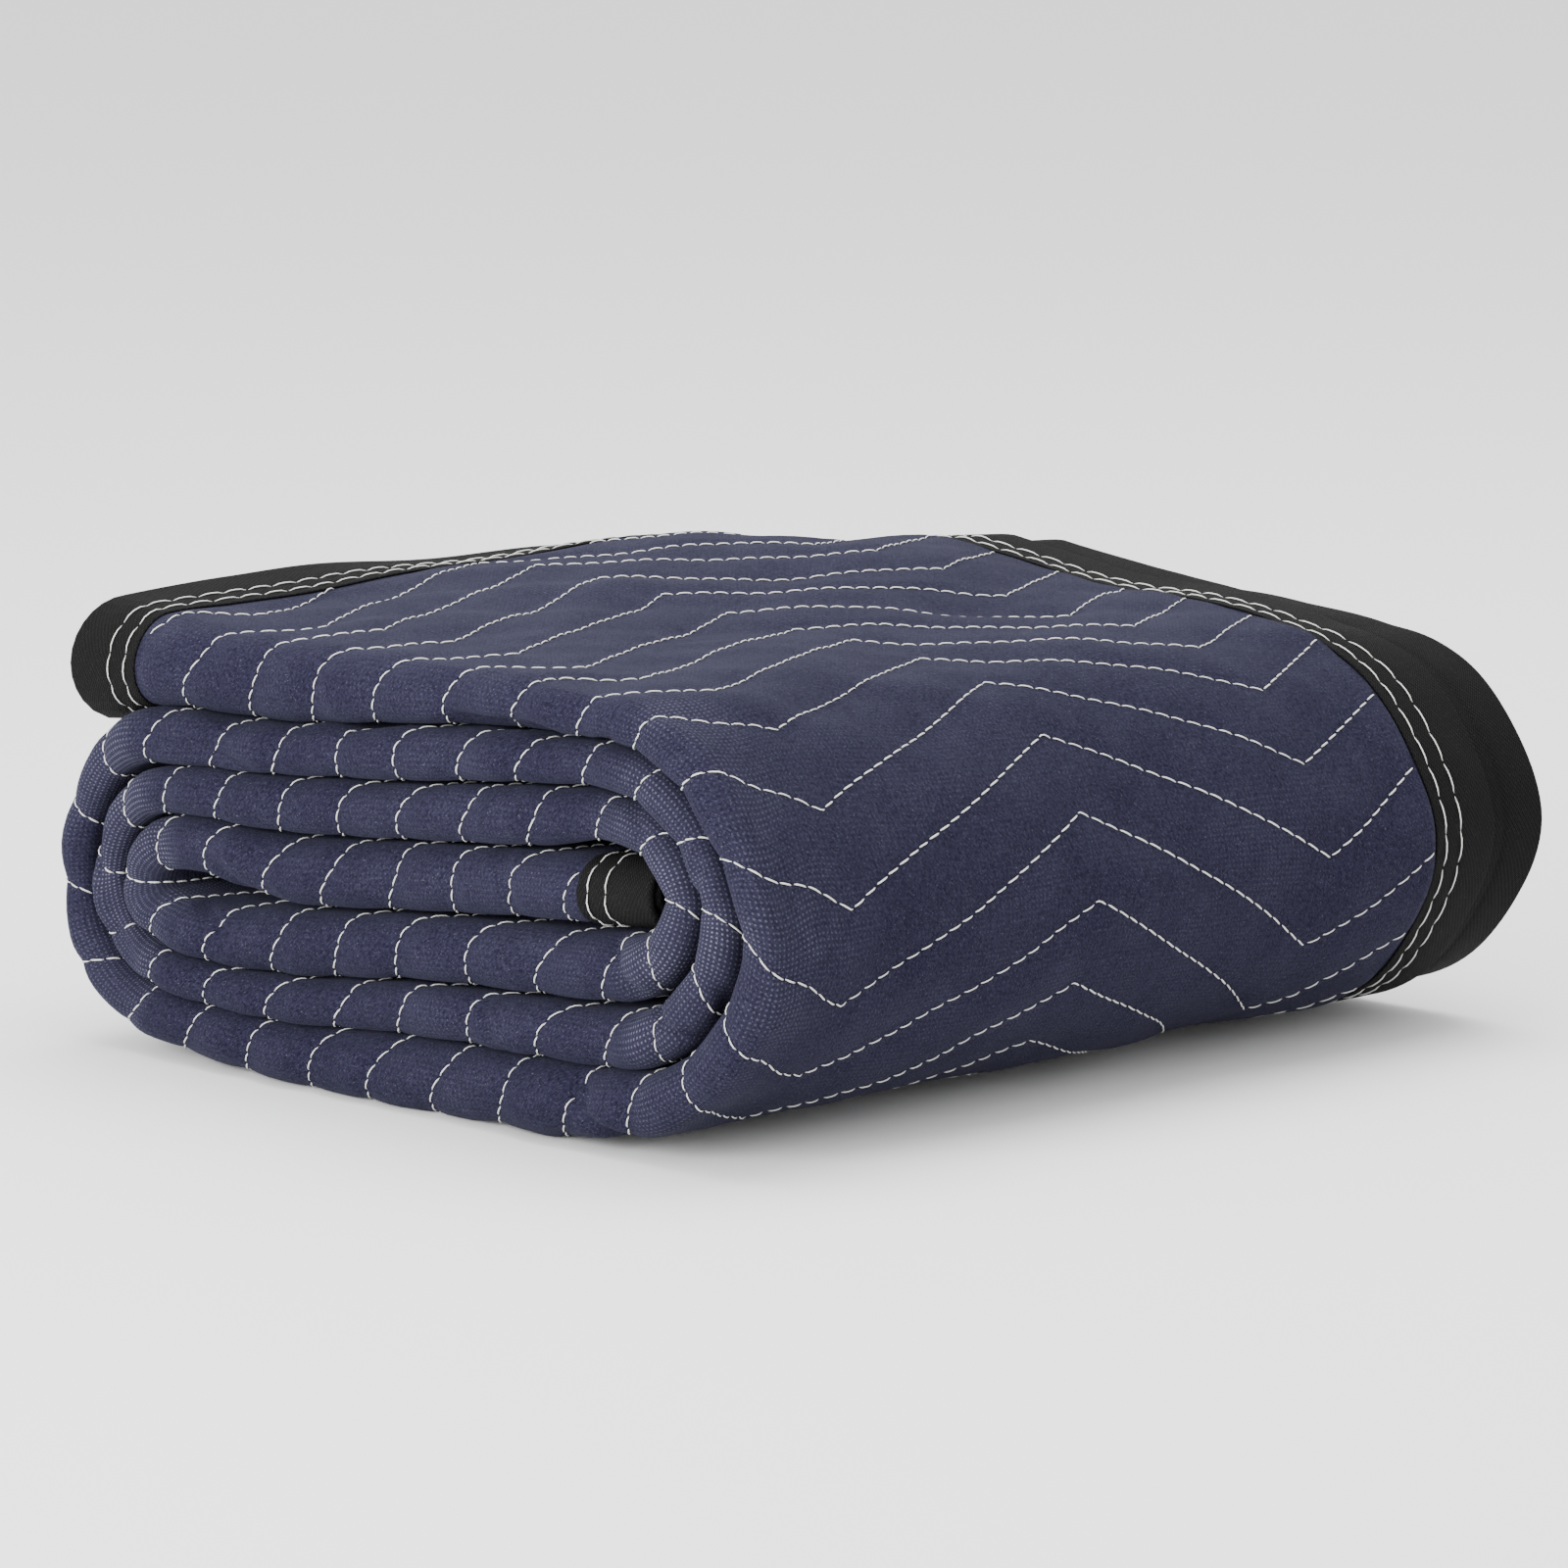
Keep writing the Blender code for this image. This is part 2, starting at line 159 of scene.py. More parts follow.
class Route:
    # smooth curve through the points (x, z, thickness) by the distance v along them
    def __init__(self, points):
        steps = np.hypot(np.diff(points[:, 0]), np.diff(points[:, 1]))
        self.at = np.concatenate([[0.0], np.cumsum(steps)])
        self.length = self.at[-1]
        self.points = points
        slopes = np.diff(points, axis=0) / steps[:, None]
        w = steps[:, None]
        inner = (slopes[:-1] * w[1:] + slopes[1:] * w[:-1]) / (w[1:] + w[:-1])
        self.tangents = np.concatenate([slopes[:1], inner, slopes[-1:]])
        # way along the outside of the strip, longer than its middle wherever it turns
        self.fine = np.linspace(0.0, self.length, 4001)
        _, normal, thickness = self.sample(self.fine)
        turn = -np.diff(np.unwrap(np.arctan2(normal[:, 1], normal[:, 0])))
        extra = np.cumsum(turn * (thickness[1:] + thickness[:-1]) / 4)
        self.ways = self.fine + np.concatenate([[0.0], extra])
        # how sharply it turns, smoothed over 12 mm
        sharp = np.abs(turn) / np.diff(self.fine)
        spread = np.exp(-np.linspace(-2.0, 2.0, 49) ** 2)
        self.bend = np.convolve(np.append(sharp, 0.0), spread / spread.sum(), "same")

    def slip(self, v, d):
        # how far the rows have slid along the strip: at the front, and underneath towards the rear
        front = np.interp(v, quilt["slipAt"], quilt["slip"]) * smooth((0.085 - d) / 0.085)
        rear = np.interp(v, quilt["rearSlipAt"], quilt["rearSlip"])
        rear = rear * np.exp(-(((d - 0.190) / 0.04) ** 2))
        uneven = np.sin(d / 0.0046 + v / 0.021) + 0.6 * np.sin(d / 0.0081 - v / 0.0137 + 1.0)
        return front + rear + quilt["uneven"] * uneven * smooth((0.012 - d) / 0.030)

    def wayOf(self, v, d):
        return np.interp(v, self.fine, self.ways) - self.slip(v, d)

    def alongOf(self, way, d):
        v = np.interp(way, self.ways, self.fine)
        for _ in range(12):
            v = np.interp(way + self.slip(v, d), self.ways, self.fine)
        return v

    def sample(self, v):
        inside = np.clip(v, 0.0, self.length)
        k = np.clip(np.searchsorted(self.at, inside, side="right") - 1, 0, len(self.at) - 2)
        span = (self.at[k + 1] - self.at[k])[:, None]
        s = (inside - self.at[k])[:, None] / span
        p0, p1 = self.points[k], self.points[k + 1]
        m0, m1 = self.tangents[k] * span, self.tangents[k + 1] * span
        place = ((2 * s**3 - 3 * s**2 + 1) * p0 + (s**3 - 2 * s**2 + s) * m0
                 + (3 * s**2 - 2 * s**3) * p1 + (s**3 - s**2) * m1)
        slope = ((6 * s**2 - 6 * s) * p0 + (3 * s**2 - 4 * s + 1) * m0
                 + (6 * s - 6 * s**2) * p1 + (3 * s**2 - 2 * s) * m1) / span
        along = slope[:, :2] / np.linalg.norm(slope[:, :2], axis=1)[:, None]
        place[:, :2] += along * (v - inside)[:, None]
        thickness = np.interp(inside, self.at, self.points[:, 2])
        return place[:, :2], np.stack([-along[:, 1], along[:, 0]], axis=1), thickness


route = Route(routePoints())


def sway(points):
    # long soft waves through the whole bundle, cloth, tape and thread together
    x, y, z = points.T
    z = z + smooth(z / 0.02) * (0.0007 * np.sin(x / 0.017 + y / 0.029 + 0.4)
                                + 0.0005 * np.sin(y / 0.013 - x / 0.031 + 2.0))
    x = x + 0.0006 * np.sin(y / 0.019 + z / 0.021 + 1.1)
    y = y + 0.0008 * np.sin(x / 0.018 + z / 0.009 + 0.2) + 0.0004 * np.sin(x / 0.0075 - z / 0.014)
    return np.stack([x, y, np.maximum(z, 0.0)], axis=1)


def placePoints(v, y, n):
    # v along the strip, y from the noses, n out from the middle of the strip
    centre, normal, _ = route.sample(v)
    flat = centre + normal * n[:, None]
    drop, swell, droop, sag, edge = [
        np.interp(flat[:, 0], roll["slopeX"], roll[name])
        for name in ("rearDrop", "swell", "rearDroop", "noseSag", "edgeDroop")]
    share = np.clip((y - roll["valleyFromNose"]) / roll["slopeLength"], 0.0, 1.2)
    atEdge = smooth((share - roll["edgeFrom"]) / roll["edgeOver"])
    lift = (drop * share + 4 * swell * share * (1 - share) + droop * smooth((share - 0.6) / 0.45)
            + sag * (1 - smooth(y / 0.055)) + edge * atEdge)
    z = np.maximum(flat[:, 1] * (1 + lift), 0.0)
    # the bound edges stand out a little at the far right, most at the flare's height
    flare = atEdge * smooth((flat[:, 0] - 0.09) / 0.04)
    flare = flare * np.exp(-(((z - roll["flareHeight"]) / roll["flareSpread"]) ** 2))
    return sway(np.stack([flat[:, 0] + roll["flare"] * flare, y - roll["middleY"], z], axis=1))


def rowShift(d):
    # triangle wave: a row's way along the strip, by its way across the cloth from the front valley
    wave = 1 - np.abs(np.mod(np.abs(d) / quilt["halfPeriod"], 2) - 1)
    return -quilt["amplitude"] * wave


def clothThickness(t):
    return np.minimum(quilt["clothShare"] * t, quilt["clothMost"])


# Folds of the cloth, listed one by one: from (v, d) to (v, d) on the outer face, depth and half
# width
creases = (
    (0.680, -0.036, 0.716, -0.043, 0.0018, 0.0022),
    (0.690, -0.031, 0.722, -0.036, -0.0008, 0.0030),
    (1.210, -0.030, 1.190, -0.040, 0.0022, 0.0030),
    (1.190, -0.040, 1.168, -0.036, 0.0018, 0.0028),
    (1.655, -0.050, 1.640, -0.040, 0.0016, 0.0026),
    (1.722, -0.038, 1.738, -0.054, 0.0016, 0.0020),
    (1.836, -0.026, 1.842, -0.044, 0.0014, 0.0018),
    (0.150, -0.047, 0.190, -0.045, 0.0030, 0.0040),
    (0.208, -0.046, 0.218, -0.040, 0.0012, 0.0018),
    (0.226, -0.039, 0.244, -0.031, 0.0015, 0.0014),
    (0.228, -0.034, 0.246, -0.026, -0.0008, 0.0024),
    (1.423, -0.029, 1.431, -0.036, 0.0014, 0.0015),
    (0.903, -0.034, 0.914, -0.044, 0.0020, 0.0020),
    (1.021, -0.029, 1.028, -0.045, 0.0014, 0.0014),
    (0.949, -0.028, 0.957, -0.047, 0.0024, 0.0014),
    (0.392, -0.047, 0.386, -0.040, 0.0040, 0.0036),
    (0.388, -0.042, 0.375, -0.024, 0.0024, 0.0020),
    (0.930, -0.036, 0.941, -0.022, 0.0018, 0.0026),
    (1.477, -0.030, 1.485, -0.050, 0.0022, 0.0022),
    (0.300, -0.042, 0.312, -0.030, 0.0012, 0.0030),
)


def puffAt(v, d):
    # between two rows the cloth stands up in a round pad, most on the noses, least where pressed
    phase = (route.wayOf(v, d) - quilt["firstRow"] - rowShift(d)) / quilt["rowSpacing"]
    p = phase - np.floor(phase)
    pad = 0.35 - np.abs(2 * p - 1) ** 2.6
    _, _, t = route.sample(v)
    arc = (-(d + roll["valleyFromNose"] - t / 2)) / (t / 2)
    nose = np.exp(-((arc - 1.45) / 0.95) ** 2)
    open_ = smooth((quilt["openUntil"] - v) / 0.03) * smooth((0.6 - arc) / 0.5)
    height = quilt["pressedPuff"] + (quilt["openPuff"] - quilt["pressedPuff"]) * open_
    height = height + (quilt["nosePuff"] - height) * nose
    ends = smooth((np.minimum(v, route.length - v) - tape["width"] - 0.0005) / 0.006)
    rear = smooth((rearLine - d) / 0.008)
    return pad * height * ends * (0.3 + 0.7 * rear), nose * ends, open_ * ends


def unevenness(v, d):
    # a few long soft waves across each other
    waves = (
        (0.071, 0.113, 0.3, 0.00045), (0.047, -0.083, 1.9, 0.00035), (0.031, 0.052, 4.1, 0.00022),
        (-0.038, 0.061, 2.2, 0.00020), (0.019, -0.033, 0.7, 0.00012),
    )
    total = np.zeros_like(v)
    for lengthV, lengthD, start, height in waves:
        total += height * np.sin(2 * math.pi * (v / lengthV + d / lengthD) + start)
    return total


def foldDepth(v, d):
    # troughs (or ridges, below zero) along short lines, fading out at both ends
    total = np.zeros_like(v)
    for v0, d0, v1, d1, depth, width in creases:
        dv, dd = v1 - v0, d1 - d0
        length = math.hypot(dv, dd)
        s = ((v - v0) * dv + (d - d0) * dd) / length**2
        off = ((v - v0) * dd - (d - d0) * dv) / length
        fade = smooth(s / 0.3 + 0.5) * smooth((1 - s) / 0.3 + 0.5)
        total += depth * fade * np.exp(-((off / width) ** 2))
    return total


def outerSurface(v, d, out=0.0, padded=True):
    # outer face of the folded strip: flat on top, round the nose in half a circle, back underneath
    _, _, t = route.sample(v)
    radius = t / 2
    arc = -(d + roll["valleyFromNose"] - radius)
    angle = np.clip(arc / radius, 0.0, math.pi)
    back = np.maximum(arc - math.pi * radius, 0.0)
    ahead = np.maximum(-arc, 0.0)
    y = radius - radius * np.sin(angle) + ahead + back
    n = radius * np.cos(angle)
    puff, nose, open_ = puffAt(v, d)
    puff, creased = (puff, foldDepth(v, d)) if padded else (0.0, 0.0)
    lift = puff + unevenness(v, d) * np.maximum(nose, open_) - creased + out
    return placePoints(v, y - np.sin(angle) * lift, n + np.cos(angle) * lift)


def sectionColumns(t):
    # the whole fold across the strip, on the cloth's middle surface, for strips of thickness t:
    # (name, y, n, outward y, outward n, thickness)
    cloth = clothThickness(t)
    pitch = (t - cloth) / 5
    level = [t / 2 - cloth / 2 - k * pitch for k in range(6)]
    bound = tape["clothInside"]
    stack = bound + 2 * (tape["gap"] + tape["thickness"])
    upperRear = t / 2 - stack / 2
    lowerRear = t / 2 - stack * 1.5 - tape["gap"] - 0.00005
    used = 2 * stack + roll["rearAllowance"]
    rest = (t - used) / 4
    rear = [t / 2 - used - (k + 0.5) * rest for k in range(4)]
    rearCloth = np.minimum(roll["rearClothShare"] * rest, quilt["clothMost"])
    width = roll["stripWidth"]
    shortEdge = width - roll["shortEdgeInset"]
    foldY = width - roll["rearFoldInset"]
    one, zero, half = np.ones_like(t), np.zeros_like(t), math.pi / 2
    columns = []

    def flat(name, y, n, side, thickness):
        columns.append((name, y * one, n, zero, side * one, thickness * one))

    def fold(name, y, n, radius, start, end, count, sign, thickness):
        for angle in (start + (end - start) * k / count for k in range(1, count)):
            across, up = math.cos(angle), math.sin(angle)
            columns.append((name, y + radius * across, n + radius * up,
                            sign * across * one, sign * up * one, thickness * one))

    under = np.linspace(0.0, 1.0, tape["columns"])  # ways in under the tape
    for share in under:
        flat("bound", shortEdge - share * (tape["width"] - tape["endThin"]), upperRear, 1, bound)
    for d in openInner:
        radius = level[0]
        arc = -(d + roll["valleyFromNose"] - t / 2)
        angle = np.clip(arc / (t / 2), 0.0, math.pi)
        y = (t / 2 - radius * np.sin(angle) + np.maximum(-arc, 0.0)
             + np.maximum(arc - math.pi * t / 2, 0.0))
        columns.append(("open", y, radius * np.cos(angle), -np.sin(angle), np.cos(angle), cloth))
    flat("lower", foldY - 0.03, (level[5] + rear[3]) / 2, -1, rearCloth)
    flat("lower", foldY, rear[3], -1, rearCloth)
    fold("rear", foldY, (rear[0] + rear[3]) / 2, (rear[0] - rear[3]) / 2, -half, half, 5, 1,
         rearCloth)
    flat("inner", foldY, rear[0], 1, rearCloth)
    flat("inner", t / 2 + pitch, level[2], 1, cloth)
    fold("first", t / 2 + pitch, zero, level[2], half, 3 * half, 3, 1, cloth)
    flat("inner", t / 2 + pitch, level[3], -1, cloth)
    flat("inner", foldY, rear[1], -1, rearCloth)
    fold("rear", foldY, (rear[1] + rear[2]) / 2, (rear[1] - rear[2]) / 2, half, -half, 3, -1,
         rearCloth)
    flat("inner", foldY, rear[2], 1, rearCloth)
    flat("inner", t / 2, level[4], 1, cloth)
    fold("nose", t / 2, zero, level[1], 3 * half, half, 5, -1, cloth)
    flat("under", t / 2, level[1], -1, cloth)
    flat("under", width - tape["width"] - tape["hemClear"], lowerRear, -1, cloth)
    for share in under[::-1]:
        flat("bound", width - share * (tape["width"] - tape["hemInset"]), lowerRear, -1, bound)
    return columns


# Lines along the strip on the open part of the cloth, by their way across it
rearLine = (roll["stripWidth"] - roll["shortEdgeInset"] - tape["width"] + 0.0001
            - roll["valleyFromNose"])
openLines = np.concatenate([
    np.linspace(rearLine, 2 * quilt["halfPeriod"], 19)[:-1],
    np.linspace(2 * quilt["halfPeriod"], quilt["halfPeriod"], 37)[:-1],
    np.linspace(quilt["halfPeriod"], 0.0, 37)[:-1],
    np.linspace(0.0, -0.012, 6)[:-1],
    np.linspace(-0.012, -0.056, 23)[:-1],
    np.linspace(-0.056, -0.085, 11),
])
openInner = np.array([
    rearLine, 0.212, 0.194, 0.176, 0.158, 0.140, 0.118, 0.096, 0.074, 0.052, 0.030, 0.010,
    -0.006, -0.020, -0.028, -0.036, -0.044, -0.052, -0.085,
])
rowOffsets = np.array([0.0, 0.05, 0.12, 0.22, 0.35, 0.5, 0.65, 0.78, 0.88, 0.95])


def plainStations(step):
    return np.linspace(0.0, route.length, int(round(route.length / step)) + 1)


def quiltedStations(d):
    # stations on every row and between rows, so that each crease runs along an edge of the mesh
    shift = float(rowShift(d))
    rows = np.arange(*quilt["rows"])
    hidden = d > 0.012
    fine = (rows[:, None] + rowOffsets[None, :]).ravel()
    v = route.alongOf(quilt["firstRow"] + fine * quilt["rowSpacing"] + shift, d)
    if hidden:  # inside the roll only the rows and the middles between them
        keep = (v < quilt["openUntil"] + 0.02) | (np.mod(fine, 1) == 0) | (np.mod(fine, 1) == 0.5)
        v = v[keep]
    low, high = tape["width"] + 0.004, route.length - tape["width"] - 0.004
    v = v[(v > low + 0.001) & (v < high - 0.001)]
    head = np.linspace(0.0, low, 13)
    tail = np.linspace(high, route.length, 13)
    stations = np.concatenate([head, v, tail])
    ends = (stations <= low) | (stations >= high)
    return stations, np.where(ends, stations, route.wayOf(stations, d) - shift)


def zipLines(first, firstKeys, second, secondKeys, secondLeads):
    # triangles between two lines: every step along either, in the order of their keys
    nudge = -1e-9 if secondLeads else 1e-9
    keys = np.concatenate([firstKeys[1:], secondKeys[1:] + nudge])
    order = np.argsort(keys, kind="stable")
    isFirst = order < len(first) - 1
    i = np.cumsum(isFirst) - isFirst
    j = np.cumsum(~isFirst) - ~isFirst
    nextI = np.minimum(i + 1, len(first) - 1)
    nextJ = np.minimum(j + 1, len(second) - 1)
    stepFirst = np.stack([first[i], first[nextI], second[j]], axis=1)
    stepSecond = np.stack([first[i], second[nextJ], second[j]], axis=1)
    return np.where(isFirst[:, None], stepFirst, stepSecond)


def thinAtEnds(v, thickness):
    fromEnd = np.minimum(v, route.length - v)
    share = smooth((fromEnd - tape["width"] - tape["endThin"]) / 0.0034)
    return tape["clothInside"] + (thickness - tape["clothInside"]) * share


def makeMesh(name, points, faces, material, uv=None, bend=None):
    mesh = bpy.data.meshes.new(name)
    sides = faces.shape[1]
    mesh.vertices.add(len(points))
    mesh.vertices.foreach_set("co", np.asarray(points, dtype=np.float32).ravel())
    mesh.loops.add(faces.size)
    mesh.loops.foreach_set("vertex_index", faces.astype(np.int32).ravel())
    mesh.polygons.add(len(faces))
    mesh.polygons.foreach_set("loop_start", np.arange(len(faces), dtype=np.int32) * sides)
    mesh.update(calc_edges=True)
    if uv is not None:
        layer = mesh.uv_layers.new(name="clothMap")
        layer.data.foreach_set("uv", np.asarray(uv, dtype=np.float32)[faces.ravel()].ravel())
    if bend is not None:
        values = mesh.attributes.new("bend", "FLOAT", "POINT").data
        values.foreach_set("value", bend.astype(np.float32))
    mesh.validate()
    work = bmesh.new()
    work.from_mesh(mesh)
    bmesh.ops.recalc_face_normals(work, faces=work.faces)
    work.to_mesh(mesh)
    work.free()
    mesh.shade_smooth()
    mesh.materials.append(material)
    piece = bpy.data.objects.new(name, mesh)
    bpy.context.scene.collection.objects.link(piece)
    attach(piece, "root")
    return piece


def pathLengths():
    # way across the unfolded cloth of every column of the fold, for a strip of usual thickness
    columns = sectionColumns(np.array([0.016]))
    places = np.array([[c[1][0], c[2][0]] for c in columns])
    steps = np.hypot(*np.diff(places, axis=0).T)
    edge = roll["stripWidth"] - roll["shortEdgeInset"] - roll["valleyFromNose"]
    ways = edge - np.cumsum([0.0, *steps])
    ways[tape["columns"]:tape["columns"] + len(openInner)] = openInner
    return ways


def buildCloth(finish):
    # outer face: fine lines where it shows, lines of the fold elsewhere; inner face the same way
    # back
    ways = pathLengths()
    plain = plainStations(0.006)
    lines, points, uvs, bends = [], [], [], []

    def addLine(spots, stations, keys, d, quilted):
        start = sum(len(p) for p in points)
        points.append(spots)
        uvs.append(np.stack([route.wayOf(stations, d), np.full(len(stations), d)], axis=1))
        bends.append(np.interp(stations, route.fine, route.bend))
        lines.append({
            "index": np.arange(start, start + len(spots)), "stations": stations, "keys": keys,
            "quilted": quilted, "y": spots[:, 1].mean(), "shift": float(rowShift(d)),
        })

    def addColumn(index, side):
        _, _, t = route.sample(plain)
        _, y, n, ny, nn, thickness = sectionColumns(t)[index]
        half = side * thinAtEnds(plain, thickness) / 2
        addLine(placePoints(plain, y + ny * half, n + nn * half), plain, plain, ways[index], False)

    count = len(ways)
    for index in range(tape["columns"]):
        addColumn(index, 1)
    for d in openLines:
        stations, keys = quiltedStations(d)
        _, _, t = route.sample(stations)
        cloth = clothThickness(t)
        inward = (cloth - thinAtEnds(stations, cloth)) / 2
        addLine(outerSurface(stations, np.full(len(stations), d), -inward), stations, keys, d, True)
    for index in range(tape["columns"] + len(openInner), count):
        addColumn(index, 1)
    outerCount = len(lines)
    for index in range(count - 1, -1, -1):
        addColumn(index, -1)

    faces = []
    for one, two in zip(lines, lines[1:] + lines[:1]):
        quilted = one["quilted"] and two["quilted"]
        ruler = "keys" if quilted else "stations"
        leads = two["shift"] < one["shift"] if quilted else two["y"] > one["y"]
        faces.append(zipLines(one["index"], one[ruler], two["index"], two[ruler], leads))
    outer, inner = lines[:outerCount], lines[outerCount:][::-1]
    for end in (0, -1):  # across the two cut ends
        a = np.array([line["index"][end] for line in outer])
        b = np.array([line["index"][end] for line in inner])
        wayA = -np.array([uvs[k][0, 1] for k in range(outerCount)])
        wayB = -np.array([uvs[k][0, 1] for k in range(outerCount, len(lines))][::-1])
        faces.append(zipLines(a, wayA, b, wayB, True))
    return makeMesh("quiltedCloth", np.concatenate(points), np.concatenate(faces), finish,
                    np.concatenate(uvs), np.concatenate(bends))


def tapeOutline(hem, half):
    # U round the edge of the cloth, as (out past the edge, side of the cloth): drawn in at its two
    # lines of stitches and round at the fold, then the inner line back
    near, far = half + tape["gap"], half + tape["gap"] + tape["thickness"]
    ways = np.array([0.0, 0.0006, 0.0025, 0.0040, 0.0055, 0.0072, 0.0090, 0.0104, 0.0118, 0.0150,
                     0.0200])
    lifts = np.array([-0.00010, 0.00004, 0.0, -0.00022, 0.00004, 0.00008, 0.0, -0.00022, 0.00004,
                      0.0001, 0.0])
    out, side = -hem + ways, far + lifts
    bend = np.linspace(math.pi / 2, -math.pi / 2, 7)
    past = tape["gap"] + tape["thickness"]
    outer = np.concatenate([np.stack([out, side], axis=1),
                            np.stack([past * np.cos(bend) * 1.3, far * np.sin(bend)], axis=1),
                            np.stack([out, -side], axis=1)[::-1]])
    inner = np.array([(-hem, -near), (-hem / 2, -near), (0.0, -near), (tape["gap"], -near * 0.4),
                      (tape["gap"], near * 0.4), (0.0, near), (-hem / 2, near), (-hem, near)])
    return np.concatenate([outer, inner])


def tubeFaces(rings, sides):
    # triangles between rings of points, open at both ends
    k, s = np.meshgrid(np.arange(rings - 1), np.arange(sides), indexing="ij")
    a, b = k * sides + s, k * sides + (s + 1) % sides
    quads = np.stack([a, b, b + sides, a + sides], axis=-1).reshape(-1, 4)
    return np.concatenate([quads[:, [0, 1, 2]], quads[:, [0, 2, 3]]])


def endFaces(ring, sides):
    # closes a U outline: its outer line zipped to its inner line
    outer = np.arange(sides - tape["innerPoints"])
    inner = np.arange(sides - 1, sides - tape["innerPoints"] - 1, -1)
    a, b = ring * sides + outer, ring * sides + inner
    return zipLines(a, np.linspace(0, 1, len(a)), b, np.linspace(0, 1, len(b)), True)


def skinTape(name, spots, ways, outline, finish):
    # closed skin over the outlines that stand at these ways along the tape
    count, sides = len(ways), len(outline)
    faces = np.concatenate([tubeFaces(count, sides), endFaces(0, sides),
                            endFaces(count - 1, sides)])
    across = outline[:, 0] * np.sign(outline[:, 1])
    uv = np.stack([np.repeat(ways, sides), np.tile(across, count)], axis=1)
    return makeMesh(name, spots, faces, finish, uv)


def buildEdgeTape(name, column, finish):
    # tape along a long edge, carried on the edge's own line from one end binding to the other
    margin = tape["width"] + tape["seamGap"]
    v = np.linspace(margin, route.length - margin, tape["stations"])
    _, _, t = route.sample(v)
    _, y, n, _, _, _ = sectionColumns(t)[column]
    outline = tapeOutline(tape["width"] - tape["edgeHem"], tape["clothInside"] / 2)
    sides = len(outline)
    spots = placePoints(np.repeat(v, sides), (y[:, None] + outline[None, :, 0]).ravel(),
                        (n[:, None] + outline[None, :, 1]).ravel())
    return skinTape(name, spots, v, outline, finish)


def endRings(atStart, outline):
    # each ring of an end binding: the U outline standing on the cloth at one line of the fold
    end, outward = (0.0, -1.0) if atStart else (route.length, 1.0)
    v = end + outward * outline[:, 0]
    _, _, t = route.sample(v)
    columns = sectionColumns(t)
    rings, ways, done = [], [], pathLengths()
    for index, (name, y, n, ny, nn, _) in enumerate(columns):
        if name == "open":
            continue
        rings.append(placePoints(v, y + ny * outline[:, 1], n + nn * outline[:, 1]))
        ways.append(done[index])
        if index in (0, len(columns) - 1):  # folded shut past the corner
            side = outline[:, 1]
            shut = [placePoints(v, y + past, n + nn * side * size) for past, size in tape["shut"]]
            rings = shut[::-1] + rings if index == 0 else rings + shut
            ways = [done[index]] * 2 + ways if index == 0 else ways + [done[index]] * 2
        if index == tape["columns"] - 1:
            for d in openLines[::2]:
                lift = outline[:, 1] - clothThickness(t) / 2
                rings.append(outerSurface(v, np.full(len(v), d), lift, False))
                ways.append(d)
    return np.stack(rings), np.array(ways)


def buildEndTape(name, atStart, finish):
    outline = tapeOutline(tape["width"], tape["clothInside"] / 2)
    rings, ways = endRings(atStart, outline)
    return skinTape(name, rings.reshape(-1, 3), ways, outline, finish)


# Sewing thread
thread = {
    "width": 0.00052,
    "height": 0.00042,
    "rowPitch": 0.0052,
    "rowDash": 0.92,
    "tapePitch": 0.0092,
    "tapeDash": 0.94,
    "turn": 0.00034,
    "tapeTurn": 0.00010,
    "rise": 0.00036,
    "sink": -0.00022,
}


def buildThread(name, centres, normals, finish):
    # every stitch is a short tube of five rings, four sided, sunk at both ends
    along = np.gradient(centres, axis=1)
    along /= np.linalg.norm(along, axis=2, keepdims=True)
    normals = normals - along * np.sum(normals * along, axis=2, keepdims=True)
    normals /= np.linalg.norm(normals, axis=2, keepdims=True)
    across = np.cross(along, normals)
    rings = centres.shape[1]
    size = np.interp(np.linspace(0, 1, rings), [0, 0.2, 0.8, 1], [0.6, 1, 1, 0.6])[None, :, None]
    corners = [(1, 0), (0, 1), (-1, 0), (0, -1)]
    wide, high = across * thread["width"] / 2, normals * thread["height"] / 2
    spots = np.stack([centres + size * (wide * a + high * b) for a, b in corners], axis=2)
    spots[..., 2] = np.maximum(spots[..., 2], 0.0)
    count, sides = len(centres), len(corners)
    faces = tubeFaces(rings, sides)
    last = (rings - 1) * sides
    caps = np.array([(0, 1, 2), (0, 2, 3), (last, last + 1, last + 2), (last, last + 2, last + 3)])
    one = np.concatenate([faces, caps])
    every = (one[None, :, :] + (np.arange(count) * rings * sides)[:, None, None]).reshape(-1, 3)
    return makeMesh(name, spots.reshape(-1, 3), every, finish)


def stitchLine(surface, start, end, pitch, dash, lean):
    # stitches along a line: surface(way, side, out) gives points, and each stitch arches and
    # leans a little
    count = round((end - start) / pitch)
    pitch = (end - start) / count
    f = np.linspace(0.0, 1.0, 5)
    order = np.arange(count)
    length = dash * (1 + 0.05 * np.sin(order * 2.3 + start * 900))
    ways = (start + pitch * order)[:, None] + pitch * length[:, None] * f[None, :]
    side = np.tile(lean * (f - 0.5), (count, 1))
    arch = thread["sink"] + (thread["rise"] - thread["sink"]) * np.sin(math.pi * f) ** 0.5
    out = np.tile(arch, (count, 1))
    centres = surface(ways.ravel(), side.ravel(), out.ravel())
    above = surface(ways.ravel(), side.ravel(), out.ravel() + 0.001)
    return centres.reshape(count, 5, 3), (above - centres).reshape(count, 5, 3)


